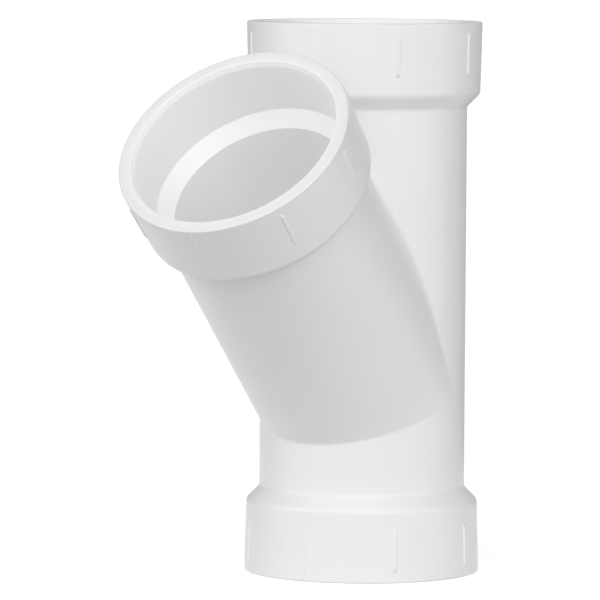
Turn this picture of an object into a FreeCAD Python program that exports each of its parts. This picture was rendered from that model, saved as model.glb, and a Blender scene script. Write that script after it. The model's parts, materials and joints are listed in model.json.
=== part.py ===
import FreeCAD, Part
import math
import os

# Lateral wye: an injection moulded pipe fitting in one piece, with a run, a 45 degree branch and three sockets.
# The run stands on its lower mouth, along +Z, and the branch leans towards -X. The XZ plane is the plane of
# symmetry and the parting plane of the mould.

# Run and branch, as lengths along their centre lines
run_length = 161.5  # from mouth to mouth
branch_height = 52.1  # where the centre lines meet, above the lower mouth
branch_length = 109.4  # from where the centre lines meet to the branch's mouth
branch_angle = 45.0  # between the centre lines

# Barrels
barrel_radius = 30.15
barrel_wall = 4.0
branch_inset = 0.05  # the branch is this much slimmer than the run, so that it dies into the run's sides

# Hubs, the thick collars round the sockets
hub_wall = 4.3  # at the mouth, round the socket
hub_length = 21.0  # from the mouth to the start of the taper
hub_draft = 1.4  # degrees by which a hub narrows away from its mouth
taper_angle = 45.0  # of the cone that joins a hub to its barrel, and of the pipe stop inside it
rim_chamfer = 0.3
hub_round = 2.5
neck_round = 2.8

# Sockets, which take the end of a pipe
socket_radius = 30.2
socket_depth = 19.05
lead_in = 0.6  # by which the mouth is wider than the socket, in radius
lead_in_length = 1.8

# Blend where the branch leaves the run, outside
crotch_round = 4.5  # in the sharp angle, or less where the hubs leave less room
crease_round = 1.5  # in the blunt angle
blend_gap = 0.5  # least plain barrel between the blend and a hub's neck

# Raised ribs round each hub
rib_count = 8
rib_start = 3.0  # from the mouth
rib_length = 12.4
rib_width = 1.0
rib_height = 0.35
rib_sunk = 0.6  # depth of a rib's root in the hub
rib_draft = 30.0  # degrees of slope on a rib's flanks
seam_length = 15.0  # of the longer, lower rib that the parting plane leaves
seam_start = 1.0
seam_width = 0.8
seam_height = 0.2

bore_radius = barrel_radius - barrel_wall
branch_radius = barrel_radius - branch_inset
hub_radius = socket_radius + hub_wall  # outside, at the mouth
taper_start_radius = hub_radius - hub_length * math.tan(math.radians(hub_draft))
overshoot = 2.0  # by which the cores stand out of the mouths
up = FreeCAD.Vector(0, 0, 1)
middle = FreeCAD.Vector(0, 0, 0)
across = FreeCAD.Vector(0, 1, 0)
along_branch = FreeCAD.Vector(-math.sin(math.radians(branch_angle)), 0, math.cos(math.radians(branch_angle)))
crossing = up * branch_height
lower_mouth = FreeCAD.Placement()
upper_mouth = FreeCAD.Placement(up * run_length, FreeCAD.Rotation(across, 180))
branch_mouth = FreeCAD.Placement(
    crossing + along_branch * branch_length, FreeCAD.Rotation(across, 180 - branch_angle)
)


def point(height, radius):
    """A point of a half-section, which lies on the +X side."""
    return FreeCAD.Vector(radius, 0, height)


def outline(corners):
    """A closed wire through (height, radius, rounding) corners, with an arc at each corner that is rounded."""
    edges = []
    start = point(*corners[0][:2])
    last = start
    for i, (height, radius, rounding) in enumerate(corners[1:-1], 1):
        here = point(height, radius)
        if not rounding:
            edges.append(Part.makeLine(last, here))
            last = here
            continue
        back = (point(*corners[i - 1][:2]) - here).normalize()
        ahead = (point(*corners[i + 1][:2]) - here).normalize()
        half_corner = back.getAngle(ahead) / 2
        reach = rounding / math.tan(half_corner)
        inward = (back + ahead).normalize()
        crown = here + inward * (rounding / math.sin(half_corner) - rounding)
        edges.append(Part.makeLine(last, here + back * reach))
        edges.append(Part.Arc(here + back * reach, crown, here + ahead * reach).toShape())
        last = here + ahead * reach
    end = point(*corners[-1][:2])
    edges += [Part.makeLine(last, end), Part.makeLine(end, start)]
    return Part.Wire(edges)


def turned(corners):
    """A solid of revolution about Z. Its first and last corners are on the axis."""
    return Part.Face(outline(corners)).revolve(middle, up, 360)


def placed(shape, placement):
    return shape.transformed(placement.toMatrix())


def half_barrel(radius, length):
    """Half a cylinder along Z, on the +Y side."""
    return Part.makeCylinder(radius, length, middle, up, 180)


def taper_end(barrel):
    """Where a hub's taper meets a barrel, from the hub's mouth."""
    return hub_length + (taper_start_radius - barrel) / math.tan(math.radians(taper_angle))


def crotch_radius():
    """The blend's radius in the crotch: a ball that touches both barrels there stays clear of the hubs."""
    neck_end = taper_end(barrel_radius) + neck_round * math.tan(math.radians(taper_angle / 2))
    plain_length = min(run_length - branch_height, branch_length) - neck_end - blend_gap
    room = plain_length * math.tan(math.radians(branch_angle / 2)) - barrel_radius
    return max(crease_round, min(crotch_round, room))


def blended_barrels():
    """Run and branch barrels, with a blend along their junction that grows from the crease up to the crotch."""
    arm = half_barrel(branch_radius, branch_length)
    arm.rotate(middle, across, -branch_angle)
    arm.translate(crossing)
    half = half_barrel(barrel_radius, run_length).fuse(arm).removeSplitter()
    junction = max(
        (edge for edge in half.Edges if edge.Curve.TypeId == "Part::GeomBSplineCurve"),
        key=lambda edge: edge.Length,
    )
    start, finish = (vertex.Z for vertex in junction.Vertexes)
    radii = (crease_round, crotch_radius()) if start < finish else (crotch_radius(), crease_round)
    half = half.makeFillet(*radii, [junction])
    return half.fuse(half.mirror(middle, across))


def hub(barrel):
    """The solid outside of a hub, with its mouth at Z 0 and the barrel it tapers to above."""
    body = turned([
        (0, 0, 0),
        (0, hub_radius - rim_chamfer, 0),
        (rim_chamfer, hub_radius, 0),
        (hub_length, taper_start_radius, hub_round),
        (taper_end(barrel), barrel, neck_round),
        (taper_end(barrel) + neck_round, barrel, 0),
        (taper_end(barrel) + neck_round, 0, 0),
    ])
    return body.multiFuse(hub_ribs())


def rib(start, length, width, height):
    """A bar with sloping flanks along a hub, on its +X side."""
    surface = hub_radius - start * math.tan(math.radians(hub_draft))
    root = width / 2 + rib_sunk * math.tan(math.radians(rib_draft))
    crest = width / 2 - height * math.tan(math.radians(rib_draft))
    section = [
        FreeCAD.Vector(surface - rib_sunk, -root, start),
        FreeCAD.Vector(surface + height, -crest, start),
        FreeCAD.Vector(surface + height, crest, start),
        FreeCAD.Vector(surface - rib_sunk, root, start),
    ]
    bar = Part.Face(Part.makePolygon(section + section[:1])).extrude(up * length)
    bar.rotate(point(start, surface), across, -hub_draft)
    return bar


def hub_ribs():
    """The ribs of one hub. Those in the parting plane are the mould's seam, which is longer and lower."""
    ribs = []
    for i in range(rib_count):
        if i % (rib_count // 2) == 0:
            bar = rib(seam_start, seam_length, seam_width, seam_height)
        else:
            bar = rib(rib_start, rib_length, rib_width, rib_height)
        bar.rotate(middle, up, 360.0 * i / rib_count)
        ribs.append(bar)
    return ribs


def socket():
    """The core of a hub, from beyond its mouth: lead-in, socket, conical pipe stop that ends in the bore."""
    stop_end = socket_depth + (socket_radius - bore_radius) / math.tan(math.radians(taper_angle))
    return turned([
        (-overshoot, 0, 0),
        (-overshoot, socket_radius + lead_in, 0),
        (0, socket_radius + lead_in, 0),
        (lead_in_length, socket_radius, 0),
        (socket_depth, socket_radius, 0),
        (stop_end, bore_radius, 0),
        (stop_end, 0, 0),
    ])


def wye_body():
    outside = blended_barrels().multiFuse([
        placed(hub(barrel_radius), lower_mouth),
        placed(hub(barrel_radius), upper_mouth),
        placed(hub(branch_radius), branch_mouth),
    ])
    run_bore = Part.makeCylinder(bore_radius, run_length, middle, up)
    branch_bore = Part.makeCylinder(bore_radius, branch_length, crossing, along_branch)
    sockets = [placed(socket(), mouth) for mouth in (lower_mouth, upper_mouth, branch_mouth)]
    core = run_bore.multiFuse([branch_bore] + sockets)
    return outside.cut(core).removeSplitter()


os.makedirs("parts", exist_ok=True)
wye_body().exportStep("parts/wye_body.step")
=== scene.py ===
import json
import math

import bmesh
import bpy
from mathutils import Matrix, Vector


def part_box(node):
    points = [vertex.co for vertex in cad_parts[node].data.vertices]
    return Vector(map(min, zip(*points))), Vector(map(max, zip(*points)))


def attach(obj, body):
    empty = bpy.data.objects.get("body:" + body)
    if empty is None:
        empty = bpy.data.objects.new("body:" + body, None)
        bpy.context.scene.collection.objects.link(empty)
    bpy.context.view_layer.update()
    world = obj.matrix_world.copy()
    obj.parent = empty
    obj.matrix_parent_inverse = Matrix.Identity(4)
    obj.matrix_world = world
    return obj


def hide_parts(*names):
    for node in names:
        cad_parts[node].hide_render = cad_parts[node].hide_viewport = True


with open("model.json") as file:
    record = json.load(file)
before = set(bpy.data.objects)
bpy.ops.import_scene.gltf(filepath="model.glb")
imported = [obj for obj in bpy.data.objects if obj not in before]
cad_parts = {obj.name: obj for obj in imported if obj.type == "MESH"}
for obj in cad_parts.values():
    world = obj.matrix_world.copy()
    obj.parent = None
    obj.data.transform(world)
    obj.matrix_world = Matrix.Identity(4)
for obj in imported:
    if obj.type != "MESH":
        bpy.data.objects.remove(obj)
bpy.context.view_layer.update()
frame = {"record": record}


# ---- Moulding ----
# The run, the branch and the three hubs are one injection moulding in rigid white PVC. Its mesh is three
# pipes that leave the crossing: up, down and branch. Each is two half tubes, and a half tube meets its
# neighbour's along a junction that is rounded outside and in the waterway.

mounts = {mount["name"]: mount for mount in frame["record"]["mounts"]}
run_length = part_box("wye_body")[1].z
socket_radius = mounts["upper_socket"]["dims"]["r_mm"] / 1000
mouth_to_mount = run_length - mounts["upper_socket"]["pos_m"][2]
branch_mount = Vector(mounts["branch_socket"]["pos_m"])
along_branch = Vector(mounts["branch_socket"]["axis"]).normalized()
crossing = branch_mount - along_branch * (branch_mount.x / along_branch.x)
branch_length = (branch_mount - crossing).length + mouth_to_mount

up = Vector((0, 0, 1))
across = Vector((0, 1, 0))
behind = Vector((1, 0, 0))
pipes = {
    "up": (up, run_length - crossing.z),
    "down": (-up, crossing.z),
    "branch": (along_branch, branch_length),
}

barrel_radius = 0.03015
bore_radius = 0.02615
hub_radius = 0.0345
hub_length = 0.021
hub_draft = math.radians(1.4)
taper_angle = math.radians(45)
hub_round = 0.0025
neck_round = 0.0016
rim_round = 0.0005
lead_in = 0.0006
lead_in_length = 0.0018
lip_round = 0.0003
lead_round = 0.0012
socket_depth = 0.01905
seat_round = 0.0005
stop_round = 0.00025

most_crotch_round = 0.0045
blend_gap = 0.0005
crease_round = 0.0015
bore_crotch_round = 0.0012
bore_crease_round = 0.0008

flash_height = 0.00005
flash_width = 0.00022
flash_columns = (0.5, 1.0, 1.6, 2.4)  # in widths of the flash from its middle
column_count = 96
quarter_turn = math.pi / 2
weld_distance = 0.000001


def rounded(corners, steps=7, hold=0.00012):
    """Points along an outline of (depth, radius, rounding) corners, with an arc at each but the two ends.

    One more point beside each end of an arc keeps the flat faces flat.
    """
    points = [Vector(corners[0][:2])]
    for before, corner, after in zip(corners, corners[1:], corners[2:]):
        here = Vector(corner[:2])
        back = (Vector(before[:2]) - here).normalized()
        ahead = (Vector(after[:2]) - here).normalized()
        half_corner = back.angle(ahead) / 2
        reach = corner[2] / math.tan(half_corner)
        centre = here + (back + ahead).normalized() * corner[2] / math.sin(half_corner)
        start = here + back * reach
        finish = here + ahead * reach
        points.append(start + back * hold)
        for i in range(steps + 1):
            points.append(centre + (start - centre).slerp(finish - centre, i / steps) * corner[2])
        points.append(finish + ahead * hold)
    points.append(Vector(corners[-1][:2]))
    return points


hub_end_radius = hub_radius - hub_length * math.tan(hub_draft)
taper_end = hub_length + (hub_end_radius - barrel_radius) / math.tan(taper_angle)
stop_end = socket_depth + (socket_radius - bore_radius) / math.tan(taper_angle)
hub_outline = rounded([
    (taper_end + neck_round, barrel_radius, 0),
    (taper_end, barrel_radius, neck_round),
    (hub_length, hub_end_radius, hub_round),
    (0, hub_radius, rim_round),
    (0, socket_radius + lead_in, lip_round),
    (lead_in_length, socket_radius, lead_round),
    (socket_depth, socket_radius, seat_round),
    (stop_end, bore_radius, stop_round),
    (stop_end + neck_round, bore_radius, 0),
])

flash_offsets = [offset * flash_width / barrel_radius for offset in flash_columns]
column_angles = sorted(
    [math.pi * i / column_count - quarter_turn for i in range(column_count + 1)]
    + flash_offsets
    + [-offset for offset in flash_offsets]
)


def flash(angle):
    """Height of the fine ridge that the mould's parting plane leaves, at that angle round a half tube."""
    return flash_height * math.exp(-((angle * barrel_radius / flash_width) ** 2))


def junction(outward, along, bisector, radius, rounding, proud=0, steps=12):
    """Half of the rounded junction of two tubes, from their middle plane out to this tube's wall.

    A ball of that rounding touches both walls, and the junction is its arc between them. The arc is set
    back by the ridge that stands proud. The distance along the tube to where the ball touches it comes back
    too.
    """
    slope = along.dot(bisector) / math.sqrt(1 - along.dot(bisector) ** 2)
    toward = (bisector - along * along.dot(bisector)).normalized()
    distance = (radius + rounding) * outward.dot(toward) * slope
    centre = crossing + along * distance + outward * (radius + rounding)
    sideways = bisector.cross(across)
    to_middle = (sideways * outward.dot(sideways) - outward).normalized()
    arc = [centre + to_middle.slerp(-outward, i / steps) * (rounding - proud) for i in range(steps + 1)]
    return arc, distance


def rows(start, finish, count=6, hold=0.0004):
    """Distances from start to finish, without the ends, and with one more beside the start."""
    return [start + hold] + [start + (finish - start) * i / count for i in range(1, count)]


def tube_line(angle, along, length, bisector, outside_round, inside_round):
    """One line of points along a half tube: junction, barrel, hub, rim, socket, bore and junction."""
    toward = (bisector - along * along.dot(bisector)).normalized()
    outward = toward * math.cos(angle) + across * math.sin(angle)
    ridge = flash(angle)

    def wall(distance, radius):
        return crossing + along * distance + outward * radius

    line, start = junction(outward, along, bisector, barrel_radius, outside_round, ridge)
    barrel_end = length - hub_outline[0].x
    line += [wall(distance, barrel_radius + ridge) for distance in rows(start, barrel_end)]
    for depth, radius in hub_outline:
        proud = ridge if radius >= hub_outline[0].y and depth > rim_round else 0
        line.append(wall(length - depth, radius + proud))
    inside, finish = junction(outward, along, bisector, bore_radius, inside_round)
    bore_end = length - hub_outline[-1].x
    line += [wall(distance, bore_radius) for distance in reversed(rows(finish, bore_end))]
    line += reversed(inside)
    return line


half_angle = up.angle(along_branch) / 2
neck_end = taper_end + neck_round * math.tan(taper_angle / 2)
plain_length = min(run_length - crossing.z, branch_length) - neck_end - blend_gap
crotch_round = min(most_crotch_round, plain_length * math.tan(half_angle) - barrel_radius)
crotch = (up + along_branch).normalized()
crease = (along_branch - up).normalized()
neighbours = [
    ("up", "branch", crotch, crotch_round, bore_crotch_round),
    ("branch", "down", crease, crease_round, bore_crease_round),
    ("down", "up", behind, 0, 0),
]

moulding_shape = bmesh.new()
for first, second, bisector, outside_round, inside_round in neighbours:
    for along, length in (pipes[first], pipes[second]):
        lines = []
        for angle in column_angles:
            line = tube_line(angle, along, length, bisector, outside_round, inside_round)
            lines.append([moulding_shape.verts.new(point) for point in line])
        for left, right in zip(lines, lines[1:]):
            for i in range(len(left) - 1):
                moulding_shape.faces.new((left[i], right[i], right[i + 1], left[i + 1]))
bmesh.ops.remove_doubles(moulding_shape, verts=moulding_shape.verts, dist=weld_distance)
bmesh.ops.recalc_face_normals(moulding_shape, faces=moulding_shape.faces)
for face in moulding_shape.faces:
    face.smooth = True
moulding_mesh = bpy.data.meshes.new("moulding")
moulding_shape.to_mesh(moulding_mesh)
moulding_shape.free()
moulding = bpy.data.objects.new("moulding", moulding_mesh)
bpy.context.collection.objects.link(moulding)

pvc_colour = (0.92, 0.92, 0.92, 1)
pvc_ior = 1.53
shade_patches = 45
shade_range = (0.985, 1.0)
gloss_patches = 160
roughness_range = (0.285, 0.345)
wave_patches = 90
wave_depth = 0.00002
grain_patches = 1500
grain_depth = 0.000004

white_pvc = bpy.data.materials.new("white_pvc")
white_pvc.use_nodes = True
pvc_tree = white_pvc.node_tree
pvc = pvc_tree.nodes["Principled BSDF"]
pvc.inputs["IOR"].default_value = pvc_ior


def add(tree, kind, inputs=(), **settings):
    """A node in a tree, with its settings and its inputs, each input a value or another node's output."""
    new = tree.nodes.new(kind)
    for name, value in settings.items():
        setattr(new, name, value)
    for key, value in dict(inputs).items():
        if isinstance(value, bpy.types.NodeSocket):
            tree.links.new(value, new.inputs[key])
        else:
            new.inputs[key].default_value = value
    return new


def noise(patches, detail, low=0, high=1):
    """A soft pattern of that many patches to the metre, as a value between low and high."""
    pattern = {"Vector": on_object, "Scale": patches, "Detail": detail}
    texture = add(pvc_tree, "ShaderNodeTexNoise", pattern).outputs["Fac"]
    spread = {"Value": texture, "From Min": 0.3, "From Max": 0.7, "To Min": low, "To Max": high}
    return add(pvc_tree, "ShaderNodeMapRange", spread).outputs["Result"]


on_object = add(pvc_tree, "ShaderNodeTexCoord").outputs["Object"]
shade = add(
    pvc_tree,
    "ShaderNodeMix",
    {"Factor": 1, "A": pvc_colour, "B": noise(shade_patches, 3, *shade_range)},
    data_type="RGBA",
    blend_type="MULTIPLY",
)
waves = add(pvc_tree, "ShaderNodeBump", {
    "Strength": 1,
    "Distance": wave_depth,
    "Height": noise(wave_patches, 1),
})
grain = add(pvc_tree, "ShaderNodeBump", {
    "Strength": 1,
    "Distance": grain_depth,
    "Height": noise(grain_patches, 2),
    "Normal": waves.outputs["Normal"],
})
pvc_tree.links.new(shade.outputs["Result"], pvc.inputs["Base Color"])
pvc_tree.links.new(noise(gloss_patches, 2, *roughness_range), pvc.inputs["Roughness"])
pvc_tree.links.new(grain.outputs["Normal"], pvc.inputs["Normal"])
moulding_mesh.materials.append(white_pvc)

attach(moulding, "root")
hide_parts("wye_body")


# ---- Hub ribs ----
# Eight short raised ribs stand round each hub, moulded with it in the same white PVC. The two in the
# mould's parting plane are the seam of the mould halves, and are longer, narrower and lower than the rest.

rib_sizes = {
    "Count": 8,
    "Start": 0.003,
    "Length": 0.0124,
    "Width": 0.0013,
    "Height": 0.00037,
    "Seam Start": 0.001,
    "Seam Length": 0.015,
    "Seam Width": 0.0007,
    "Seam Height": 0.00023,
    "Hub Radius": hub_radius,
    "Hub Slope": math.tan(hub_draft),
}
rib_root = 0.0004  # depth of a rib's foot in the hub's wall
rib_skirt = 0.1  # share of a rib's height by which its edges dip under the hub's surface
crest_flat = 0.2  # from a rib's middle, as a share of its width
length_flat = 0.44  # from a rib's middle, as a share of its length
rib_cuts = {"Vertices X": 2, "Vertices Y": 11, "Vertices Z": 25}


def maths(tree, operation, first, second=0.0):
    """The result of a Math node on two numbers."""
    return add(tree, "ShaderNodeMath", {0: first, 1: second}, operation=operation).outputs[0]


def swell(tree, distance, flat):
    """A rise from just under the hub's surface at a rib's edge, at 0.5, to its full height within flat."""
    rise = {"Value": distance, "From Min": 0.5, "From Max": flat, "To Min": -rib_skirt, "To Max": 1.0}
    return add(tree, "ShaderNodeMapRange", rise, interpolation_type="SMOOTHSTEP").outputs["Result"]


def rib(tree, sizes, start, length, width, height):
    """One rib on the +X side of a hub, a closed bar with its root in the hub's wall and a rounded crest."""
    block = add(tree, "GeometryNodeMeshCube", {"Size": (1, 1, 1), **rib_cuts})
    position = add(tree, "GeometryNodeInputPosition").outputs["Position"]
    part = add(tree, "ShaderNodeSeparateXYZ", {0: position})
    crest = swell(tree, maths(tree, "ABSOLUTE", part.outputs["Y"]), crest_flat)
    ends = swell(tree, maths(tree, "ABSOLUTE", part.outputs["Z"]), length_flat)
    top = maths(tree, "MULTIPLY", maths(tree, "MINIMUM", crest, ends), height)
    depth = maths(tree, "MULTIPLY", maths(tree, "ADD", part.outputs["Z"], 0.5), length)
    depth = maths(tree, "ADD", depth, start)
    draft = maths(tree, "MULTIPLY", depth, sizes["Hub Slope"])
    surface = maths(tree, "SUBTRACT", sizes["Hub Radius"], draft)
    root = maths(tree, "SUBTRACT", surface, rib_root)
    thickness = maths(tree, "ADD", top, rib_root)
    outward = maths(tree, "MULTIPLY", maths(tree, "ADD", part.outputs["X"], 0.5), thickness)
    shaped = add(tree, "ShaderNodeCombineXYZ", {
        "X": maths(tree, "ADD", root, outward),
        "Y": maths(tree, "MULTIPLY", part.outputs["Y"], width),
        "Z": depth,
    })
    bar = {"Geometry": block.outputs["Mesh"], "Position": shaped.outputs["Vector"]}
    return add(tree, "GeometryNodeSetPosition", bar).outputs["Geometry"]


rib_tree = bpy.data.node_groups.new("hub_ribs", "GeometryNodeTree")
for name, value in rib_sizes.items():
    kind = "NodeSocketInt" if isinstance(value, int) else "NodeSocketFloat"
    rib_tree.interface.new_socket(name, in_out="INPUT", socket_type=kind)
for pipe in pipes:
    rib_tree.interface.new_socket(f"{pipe} mouth", in_out="INPUT", socket_type="NodeSocketVector")
    rib_tree.interface.new_socket(f"{pipe} turn", in_out="INPUT", socket_type="NodeSocketVector")
rib_tree.interface.new_socket("Material", in_out="INPUT", socket_type="NodeSocketMaterial")
rib_tree.interface.new_socket("Geometry", in_out="OUTPUT", socket_type="NodeSocketGeometry")

given = add(rib_tree, "NodeGroupInput").outputs
rib_names = ("Start", "Length", "Width", "Height")
plain_rib = rib(rib_tree, given, *[given[name] for name in rib_names])
seam_rib = rib(rib_tree, given, *[given[f"Seam {name}"] for name in rib_names])
points = add(rib_tree, "GeometryNodePoints", {"Count": given["Count"]}).outputs["Points"]
number = add(rib_tree, "GeometryNodeInputIndex").outputs["Index"]
angle = maths(rib_tree, "DIVIDE", maths(rib_tree, "MULTIPLY", number, 2 * math.pi), given["Count"])
facing = add(rib_tree, "ShaderNodeCombineXYZ", {"Z": angle}).outputs["Vector"]
in_parting = maths(rib_tree, "MODULO", number, maths(rib_tree, "DIVIDE", given["Count"], 2.0))
in_parting = maths(rib_tree, "COMPARE", in_parting, 0.0)
off_parting = maths(rib_tree, "SUBTRACT", 1.0, in_parting)
one_hub = add(rib_tree, "GeometryNodeJoinGeometry")
for bar, chosen in ((plain_rib, off_parting), (seam_rib, in_parting)):
    bars = add(rib_tree, "GeometryNodeInstanceOnPoints", {
        "Points": points,
        "Selection": chosen,
        "Instance": bar,
        "Rotation": facing,
    })
    rib_tree.links.new(bars.outputs["Instances"], one_hub.inputs["Geometry"])
all_hubs = add(rib_tree, "GeometryNodeJoinGeometry")
for pipe in pipes:
    on_hub = add(rib_tree, "GeometryNodeTransform", {
        "Geometry": one_hub.outputs["Geometry"],
        "Translation": given[f"{pipe} mouth"],
        "Rotation": given[f"{pipe} turn"],
    })
    rib_tree.links.new(on_hub.outputs["Geometry"], all_hubs.inputs["Geometry"])
real = add(rib_tree, "GeometryNodeRealizeInstances", {"Geometry": all_hubs.outputs["Geometry"]})
finish = add(rib_tree, "GeometryNodeSetMaterial", {
    "Geometry": real.outputs["Geometry"],
    "Material": given["Material"],
})
add(rib_tree, "NodeGroupOutput", {"Geometry": finish.outputs["Geometry"]})

rib_inputs = dict(rib_sizes, Material=white_pvc)
half_turn = Matrix.Rotation(math.pi, 3, "Y").to_quaternion()
for pipe, (along, length) in pipes.items():
    turn = half_turn if along == up else up.rotation_difference(-along)
    rib_inputs[f"{pipe} mouth"] = crossing + along * length
    rib_inputs[f"{pipe} turn"] = Vector(turn.to_euler())

rib_maker = bpy.data.objects.new("rib_maker", bpy.data.meshes.new("rib_maker"))
bpy.context.collection.objects.link(rib_maker)
modifier = rib_maker.modifiers.new("ribs", "NODES")
modifier.node_group = rib_tree
for socket in rib_tree.interface.items_tree:
    if socket.in_out == "INPUT":
        modifier[socket.identifier] = rib_inputs[socket.name]
settled = bpy.context.evaluated_depsgraph_get()
made = bpy.data.meshes.new_from_object(rib_maker.evaluated_get(settled), depsgraph=settled)
hub_ribs = bpy.data.objects.new("hub_ribs", made)
bpy.data.objects.remove(rib_maker)
bpy.context.collection.objects.link(hub_ribs)
for polygon in hub_ribs.data.polygons:
    polygon.use_smooth = True

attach(hub_ribs, "root")


# ---- Floor and room ----
# A wide sheet of pale matt board under the fitting, in a plain white room. Both glow for the camera and for
# reflections alone, so that they look white while the lamps stay low and the floor keeps the shadow.

floor_half = 12.0
board_colour = (0.65, 0.65, 0.65, 1)
board_glow = 0.64
room_strength = 0.12
white = (1, 1, 1, 1)
floor_mesh = bpy.data.meshes.new("floor")
floor_corners = [(-floor_half, -floor_half, 0), (floor_half, -floor_half, 0)]
floor_corners += [(floor_half, floor_half, 0), (-floor_half, floor_half, 0)]
floor_mesh.from_pydata(floor_corners, [], [(0, 1, 2, 3)])
floor = bpy.data.objects.new("floor", floor_mesh)
bpy.context.collection.objects.link(floor)


def seen(tree):
    """1 for what the camera, reflections and glass see, and 0 for what lights the object."""
    rays = add(tree, "ShaderNodeLightPath").outputs
    mirrored = maths(tree, "MAXIMUM", rays["Is Glossy Ray"], rays["Is Transmission Ray"])
    return maths(tree, "MAXIMUM", rays["Is Camera Ray"], mirrored)


pale_floor = bpy.data.materials.new("pale_floor")
pale_floor.use_nodes = True
floor_tree = pale_floor.node_tree
matt = floor_tree.nodes["Principled BSDF"]
matt.inputs["Base Color"].default_value = board_colour
matt.inputs["Roughness"].default_value = 0.9
matt.inputs["Specular IOR Level"].default_value = 0.1
board_seen = maths(floor_tree, "MULTIPLY", seen(floor_tree), board_glow)
glowing = add(floor_tree, "ShaderNodeEmission", {"Color": white, "Strength": board_seen})
board = add(floor_tree, "ShaderNodeAddShader", {0: matt.outputs[0], 1: glowing.outputs[0]})
floor_tree.links.new(board.outputs[0], floor_tree.nodes["Material Output"].inputs["Surface"])
floor_mesh.materials.append(pale_floor)

world = bpy.data.worlds.new("white_room")
bpy.context.scene.world = world
world.use_nodes = True
room_tree = world.node_tree
room_light = room_tree.nodes["Background"]
room_light.inputs["Color"].default_value = white
room_light.inputs["Strength"].default_value = room_strength
room_walls = add(room_tree, "ShaderNodeBackground", {"Color": white, "Strength": 1.0})
room = add(room_tree, "ShaderNodeMixShader", {
    0: seen(room_tree),
    1: room_light.outputs[0],
    2: room_walls.outputs[0],
})
room_tree.links.new(room.outputs[0], room_tree.nodes["World Output"].inputs["Surface"])


# ---- Lamps ----
# Six wide soft lamps far off, on all sides. Two small ones at the branch's mouth and in its bore stand in
# for the light that comes through the walls of a real fitting.

camera_azimuth = math.radians(-61.512)
lamp_width = math.radians(60)
suns = {
    # name: (azimuth from the camera and elevation in degrees, strength)
    "left": (-75, 10, 1.30),
    "front": (8, 10, 0.79),
    "right": (50, 10, 0.84),
    "far_right": (85, 10, 0.36),
    "high": (-12, 42, 0.90),
    "back": (180, 40, 0.48),
}
glows = {
    # name: (kind, distance from the crossing, size, power)
    "mouth_glow": ("AREA", branch_length + 0.003, 0.062, 0.0016),
    "bore_glow": ("POINT", 0.042, 0.02, 0.0060),
}


def from_fitting(azimuth, elevation=0):
    """The direction at that azimuth, counted from the camera's, and that elevation, in degrees."""
    around = Matrix.Rotation(camera_azimuth + math.radians(azimuth), 3, "Z")
    return around @ Matrix.Rotation(-math.radians(elevation), 3, "X") @ -across


for name, (azimuth, elevation, strength) in suns.items():
    sun_data = bpy.data.lights.new(name, "SUN")
    sun_data.energy = strength
    sun_data.angle = lamp_width
    sun = bpy.data.objects.new(name, sun_data)
    bpy.context.collection.objects.link(sun)
    sun.rotation_euler = from_fitting(azimuth, elevation).to_track_quat("Z", "Y").to_euler()

for name, (kind, distance, size, power) in glows.items():
    glow_data = bpy.data.lights.new(name, kind)
    glow_data.energy = power
    if kind == "AREA":
        glow_data.shape = "DISK"
        glow_data.size = size
    else:
        glow_data.shadow_soft_size = size
    glow = bpy.data.objects.new(name, glow_data)
    bpy.context.collection.objects.link(glow)
    glow.location = crossing + along_branch * distance
    glow.rotation_euler = along_branch.to_track_quat("Z", "Y").to_euler()
    glow.visible_camera = False


# ---- Grey screen ----
# Grey cloth hung round the back of the fitting, nearer on the right. Only reflections see it, and it
# darkens the glossy moulding's edges against the white room.

screen_start = 95  # degrees round from the camera
screen_turn = 170
right_radius = 0.3
left_radius = 0.5
screen_height = 1.2
screen_steps = 24
cloth_brightness = 0.35
screen_shape = bmesh.new()
folds = []
for i in range(screen_steps + 1):
    screen_radius = right_radius if i < screen_steps / 2 else left_radius
    foot = from_fitting(screen_start + screen_turn * i / screen_steps) * screen_radius
    folds.append([screen_shape.verts.new(foot + up * height) for height in (0, screen_height)])
for left, right in zip(folds, folds[1:]):
    screen_shape.faces.new((left[0], right[0], right[1], left[1]))
screen_mesh = bpy.data.meshes.new("grey_screen")
screen_shape.to_mesh(screen_mesh)
screen_shape.free()
screen = bpy.data.objects.new("grey_screen", screen_mesh)
bpy.context.collection.objects.link(screen)
screen.visible_camera = False
screen.visible_shadow = False
screen.visible_diffuse = False

grey_cloth = bpy.data.materials.new("grey_cloth")
grey_cloth.use_nodes = True
cloth_tree = grey_cloth.node_tree
cloth = add(cloth_tree, "ShaderNodeEmission", {"Color": white, "Strength": cloth_brightness})
cloth_tree.links.new(cloth.outputs[0], cloth_tree.nodes["Material Output"].inputs["Surface"])
grey_cloth.cycles.emission_sampling = "NONE"
screen_mesh.materials.append(grey_cloth)


# ---- Camera ----
# A long lens a metre and a half from the run, a little above its upper mouth, that looks slightly down.

camera_distance = 1.5649
camera_height = 0.20018
camera_yaw = math.radians(-0.677)
camera_pitch = math.radians(4.412)
camera_roll = math.radians(0.347)
camera_data = bpy.data.cameras.new("camera")
camera_data.sensor_width = 36.0
camera_data.lens = 320.34
camera_data.clip_end = 40.0
camera = bpy.data.objects.new("camera", camera_data)
bpy.context.collection.objects.link(camera)
camera.location = Matrix.Rotation(camera_azimuth, 3, "Z") @ Vector((0, -camera_distance, camera_height))
camera_turn = (
    Matrix.Rotation(camera_azimuth - camera_yaw, 3, "Z")
    @ Matrix.Rotation(math.pi / 2 - camera_pitch, 3, "X")
    @ Matrix.Rotation(camera_roll, 3, "Z")
)
camera.rotation_euler = camera_turn.to_euler()
bpy.context.scene.camera = camera
bpy.context.scene.view_settings.view_transform = "Standard"
